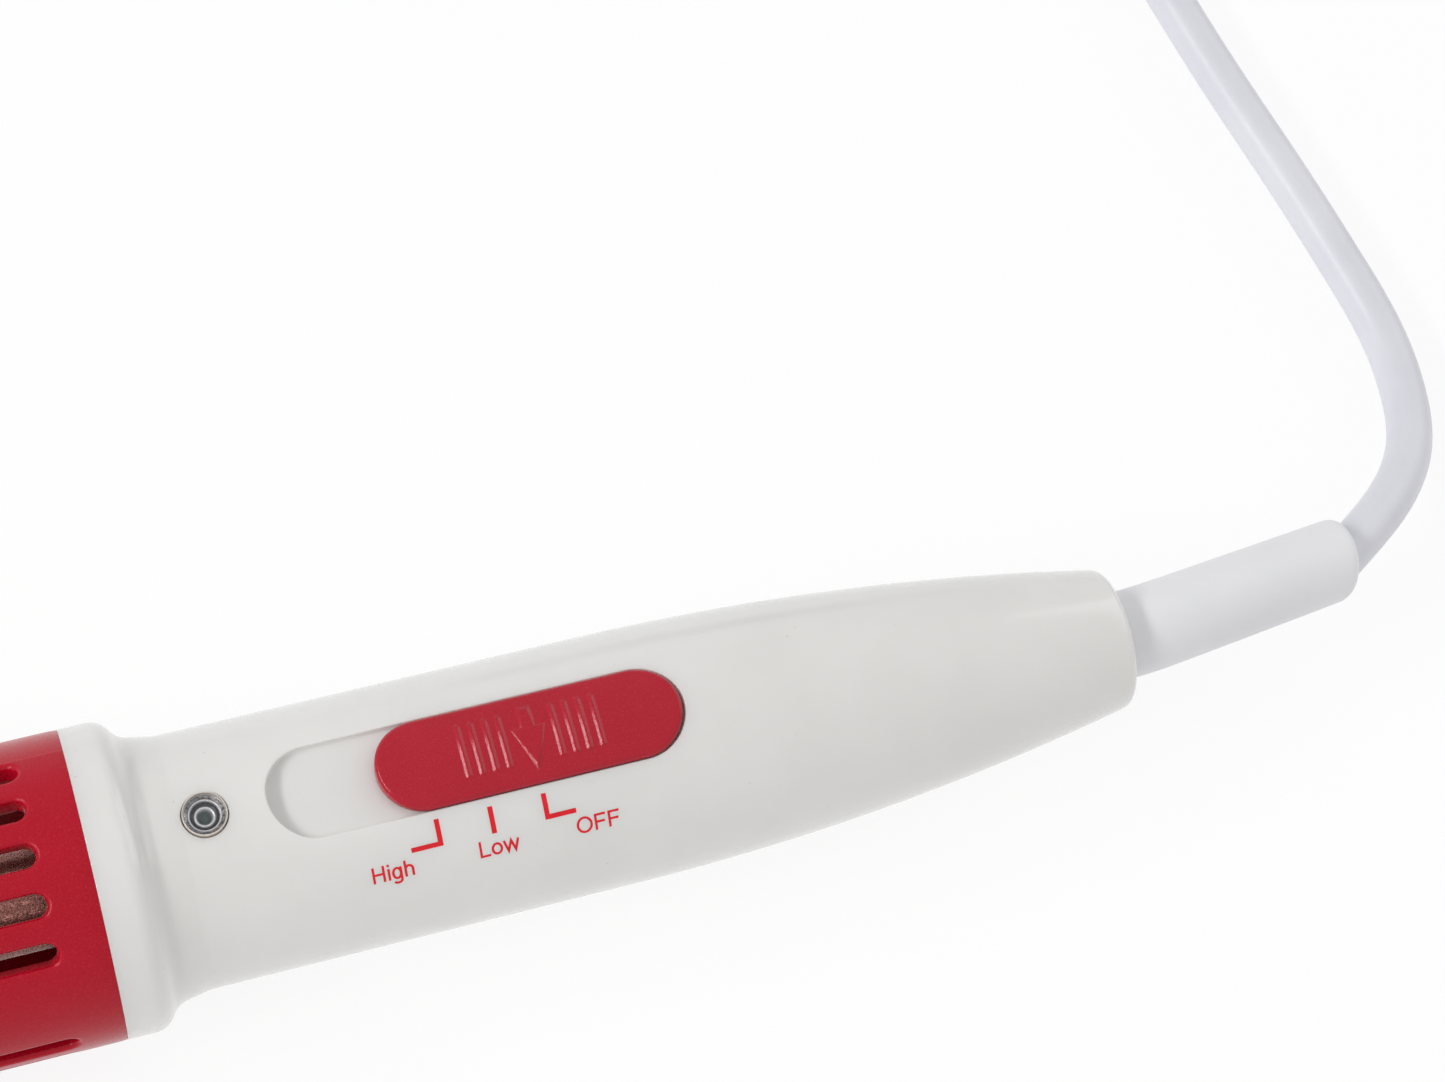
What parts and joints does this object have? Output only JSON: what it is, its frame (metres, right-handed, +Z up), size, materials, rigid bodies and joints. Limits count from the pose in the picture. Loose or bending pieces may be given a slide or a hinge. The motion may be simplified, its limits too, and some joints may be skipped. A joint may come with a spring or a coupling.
{
  "type": "mini craft iron",
  "caption": "Slim mains-powered craft iron: round tapered handle with a slide switch and indicator, slotted heat guard, small pointed ironing shoe, and a coiled mains cord with a flat plug.",
  "frame": {"origin": "middle of the iron's own footprint on the table, with the free cord, its coil and plug left out", "axes": "+X along the iron from the ironing shoe to the cord, +Y to the left of that, +Z up with the switch on top"},
  "size_m": [0.287, 0.2306, 0.0351],
  "materials": {
    "warm_white_plastic": "smooth, slightly glossy moulding",
    "red_heat_plastic": "satin heat-resistant moulding",
    "milky_pvc": "soft milky vinyl",
    "white_cord_pvc": "smooth cool white vinyl",
    "nickel_steel": "nickel-plated, drawn",
    "polished_sole": "polished, plated",
    "nickel_brass": "plated brass",
    "contact_copper": "stamped copper alloy",
    "brown_mica": "rolled insulating sheet, dull",
    "heater_ceramic": "unglazed ceramic",
    "black_plastic": "dull black moulding",
    "brown_board": "paper laminate",
    "sand_resistor": "lacquered",
    "white_wire": "sleeved wire",
    "clear_lens": "clear, polished",
    "neon_glass": "small glass bulb"
  },
  "bodies": {
    "iron": {"handle_housing": "warm_white_plastic", "vent_guard": "red_heat_plastic", "circuit_board": "brown_board", "common_contact": "contact_copper", "low_contact": "contact_copper", "high_contact": "contact_copper", "half_wave_diode": "black_plastic", "lamp_resistor": "sand_resistor", "indicator_lens": "clear_lens", "neon_lamp": "neon_glass", "heater_flange": "nickel_steel", "flange_screw_1": "nickel_steel", "flange_screw_2": "nickel_steel", "flange_screw_3": "nickel_steel", "insulating_sleeve": "brown_mica", "barrel_tube": "nickel_steel", "barrel_bush": "nickel_brass", "heater_core": "heater_ceramic", "heater_lead_live": "white_wire", "heater_lead_neutral": "white_wire", "strain_relief": "milky_pvc", "cord_inner_end": "white_cord_pvc", "cord_crimp": "nickel_steel", "cord_core_live": "white_wire", "cord_core_neutral": "white_wire", "mains_cord": "white_cord_pvc", "cord_coil": "white_cord_pvc", "coil_tie": "white_cord_pvc", "plug_lead": "white_cord_pvc", "plug_relief": "white_cord_pvc", "plug_body": "white_cord_pvc", "plug_pin_1": "nickel_brass", "plug_pin_2": "nickel_brass"},
    "switch": {"slide_knob": "red_heat_plastic", "slide_carrier": "black_plastic", "wiper_contact": "contact_copper", "detent_leaf": "nickel_steel"},
    "tip": {"tip_shoe": "polished_sole", "tip_stud": "nickel_steel", "lock_nut": "nickel_steel"}
  },
  "joints": [
    {"name": "switch_slide", "type": "slide", "parent": "iron", "child": "switch", "axis": [-1, 0, 0], "range_m": [0, 0.0122]},
    {"name": "tip_slide", "type": "slide", "parent": "iron", "child": "tip", "axis": [-1, 0, 0], "range_m": [0, 0.014]}
  ]
}
